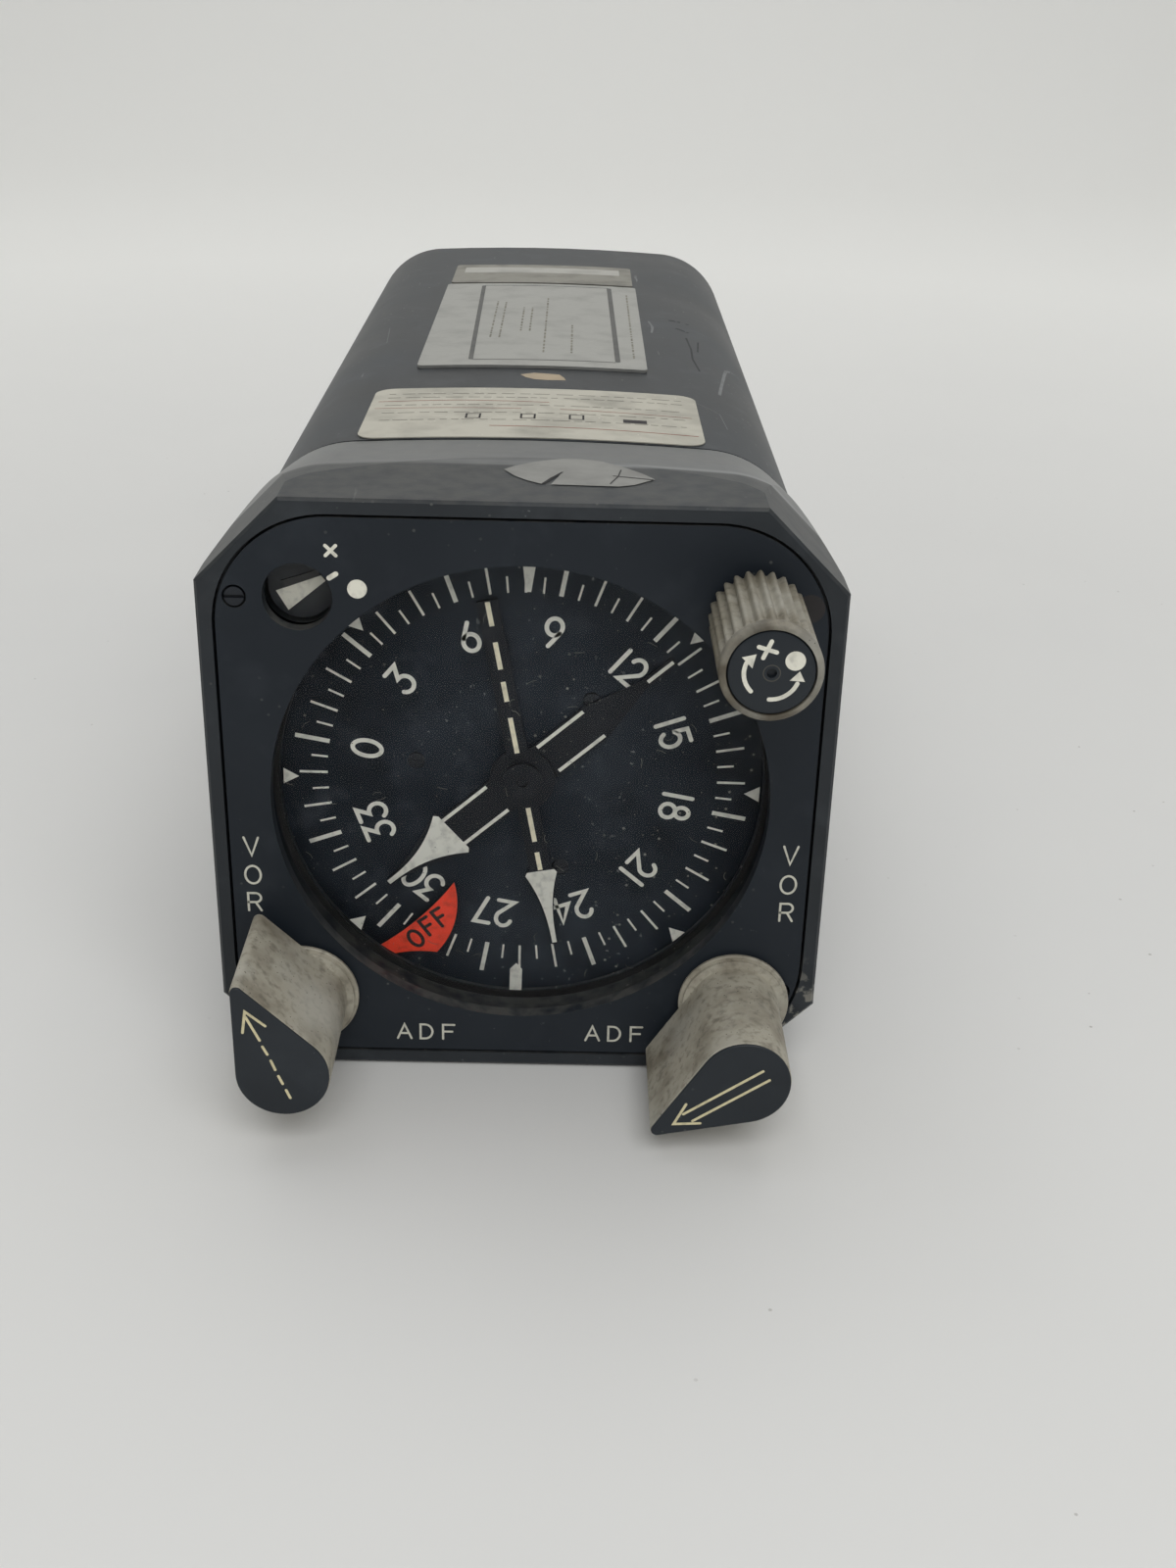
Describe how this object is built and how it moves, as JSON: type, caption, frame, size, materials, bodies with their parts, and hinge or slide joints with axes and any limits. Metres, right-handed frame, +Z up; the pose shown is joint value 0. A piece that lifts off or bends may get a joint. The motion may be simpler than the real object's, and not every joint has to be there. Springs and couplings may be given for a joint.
{
  "type": "compass indicator",
  "caption": "Panel compass indicator: square cased instrument with a turning compass card, single and double pointers, warning flag, annunciator, sync knob and selector knobs.",
  "frame": {"origin": "below the middle of the whole indicator, at the level of the lower flat of the front casting; centred across and from knob fronts to connector end", "axes": "+Y runs from the dial to the rear connector, +Z up, +X to the right of someone who looks at the dial"},
  "size_m": [0.0828, 0.2446, 0.083],
  "materials": {
    "case_paint": "satin, worn",
    "face_paint": "matt",
    "window_glass": "polished",
    "gasket_rubber": "matt",
    "screw_steel": "plain",
    "label_metal": "printed foil",
    "sticker_paper": "dirty paper",
    "knob_paint": "matt, stained",
    "knob_black": "matt",
    "shaft_steel": "ground",
    "bearing_bronze": "turned",
    "dial_paint": "matt, dusty",
    "hub_aluminium": "turned",
    "gear_brass": "cut",
    "flag_paint": "matt",
    "signal_paint": "matt",
    "motor_can": "plain",
    "movement_black": "plain",
    "frame_aluminium": "machined",
    "board_laminate": "lacquered",
    "transformer_iron": "lacquered",
    "connector_alloy": "passivated",
    "connector_plastic": "plain",
    "pin_gold": "plated",
    "lamp_glass": "clear"
  },
  "bodies": {
    "case": {"front_casting": "case_paint", "case_sleeve": "case_paint", "face_plate": "face_paint", "window_glass": "window_glass", "annunciator_window": "window_glass", "window_gasket": "gasket_rubber", "seam_gasket": "gasket_rubber", "face_screws": "screw_steel", "case_screws": "screw_steel", "frame_screws": "screw_steel", "connector_screws": "screw_steel", "data_plate": "label_metal", "modification_plate": "label_metal", "tamper_seal": "label_metal", "inspection_sticker": "sticker_paper", "shaft_bushings": "bearing_bronze", "card_bearing": "bearing_bronze", "heading_synchro": "motor_can", "pointer_2_synchro": "motor_can", "pointer_1_synchro": "motor_can", "card_servo_motor": "motor_can", "sync_transmitter": "motor_can", "flag_movement": "movement_black", "annunciator_movement": "movement_black", "selector_switches": "movement_black", "front_frame_plate": "frame_aluminium", "middle_frame_plate": "frame_aluminium", "rear_frame_plate": "frame_aluminium", "frame_posts": "frame_aluminium", "rear_posts": "frame_aluminium", "servo_amplifier_board": "board_laminate", "receiver_board": "board_laminate", "power_transformer": "transformer_iron", "connector_shell": "connector_alloy", "connector_insert": "connector_plastic", "connector_pins": "pin_gold", "lamps": "lamp_glass"},
    "card": {"compass_card": "dial_paint", "card_hub": "hub_aluminium", "card_screws": "screw_steel", "card_gear": "gear_brass"},
    "heading_rotor": {"heading_synchro_rotor": "gear_brass"},
    "servo": {"servo_rotor": "gear_brass"},
    "first_pointer": {"pointer_1": "dial_paint", "pointer_1_shaft": "shaft_steel"},
    "second_pointer": {"pointer_2": "dial_paint", "pointer_2_sleeve": "hub_aluminium", "pointer_2_gear": "gear_brass"},
    "second_rotor": {"pointer_2_synchro_rotor": "gear_brass"},
    "flag": {"off_flag": "flag_paint"},
    "signal": {"annunciator_pointer": "signal_paint"},
    "sync": {"sync_knob": "knob_paint", "sync_knob_face": "knob_black", "sync_shaft": "shaft_steel"},
    "left_selector": {"left_selector_knob": "knob_paint", "left_selector_face": "knob_black", "left_selector_shaft": "shaft_steel"},
    "right_selector": {"right_selector_knob": "knob_paint", "right_selector_face": "knob_black", "right_selector_shaft": "shaft_steel"}
  },
  "joints": [
    {"name": "card_spin", "type": "hinge", "parent": "case", "child": "card", "pos_m": [0, -0.0924, 0.0414], "axis": [0, 1, 0], "continuous": true},
    {"name": "heading_synchro_spin", "type": "hinge", "parent": "case", "child": "heading_rotor", "pos_m": [0.024, -0.0837, 0.0414], "axis": [0, 1, 0], "continuous": true},
    {"name": "servo_spin", "type": "hinge", "parent": "case", "child": "servo", "pos_m": [0, -0.0837, 0.0618], "axis": [0, 1, 0], "continuous": true},
    {"name": "pointer_1_spin", "type": "hinge", "parent": "case", "child": "first_pointer", "pos_m": [0, -0.09335, 0.0414], "axis": [0, 1, 0], "continuous": true},
    {"name": "pointer_2_spin", "type": "hinge", "parent": "case", "child": "second_pointer", "pos_m": [0, -0.09295, 0.0414], "axis": [0, 1, 0], "continuous": true},
    {"name": "pointer_2_synchro_spin", "type": "hinge", "parent": "case", "child": "second_rotor", "pos_m": [-0.024, -0.0757, 0.0414], "axis": [0, 1, 0], "continuous": true},
    {"name": "off_flag_swing", "type": "hinge", "parent": "case", "child": "flag", "pos_m": [-0.024, -0.09375, 0.0129], "axis": [0, 1, 0], "range_deg": [0, 60], "stiffness_Nm_per_rad": 0.00004, "springref_deg": -34.38},
    {"name": "annunciator_swing", "type": "hinge", "parent": "case", "child": "signal", "pos_m": [-0.02845, -0.0974, 0.0699], "axis": [0, 1, 0], "range_deg": [-22.5, 22.5], "stiffness_Nm_per_rad": 0.00001},
    {"name": "sync_knob_spin", "type": "hinge", "parent": "case", "child": "sync", "pos_m": [0.0296, -0.1027, 0.0691], "axis": [0, 1, 0], "continuous": true},
    {"name": "left_selector_turn", "type": "hinge", "parent": "case", "child": "left_selector", "pos_m": [-0.03, -0.1027, 0.0117], "axis": [0, 1, 0], "range_deg": [0, 150]},
    {"name": "right_selector_turn", "type": "hinge", "parent": "case", "child": "right_selector", "pos_m": [0.03, -0.1027, 0.0117], "axis": [0, 1, 0], "range_deg": [0, 150]}
  ],
  "couplings": [
    {"joint": "heading_synchro_spin", "follows": "card_spin", "ratio": -1},
    {"joint": "servo_spin", "follows": "card_spin", "ratio": -1.4286},
    {"joint": "pointer_2_synchro_spin", "follows": "pointer_2_spin", "ratio": -1}
  ]
}
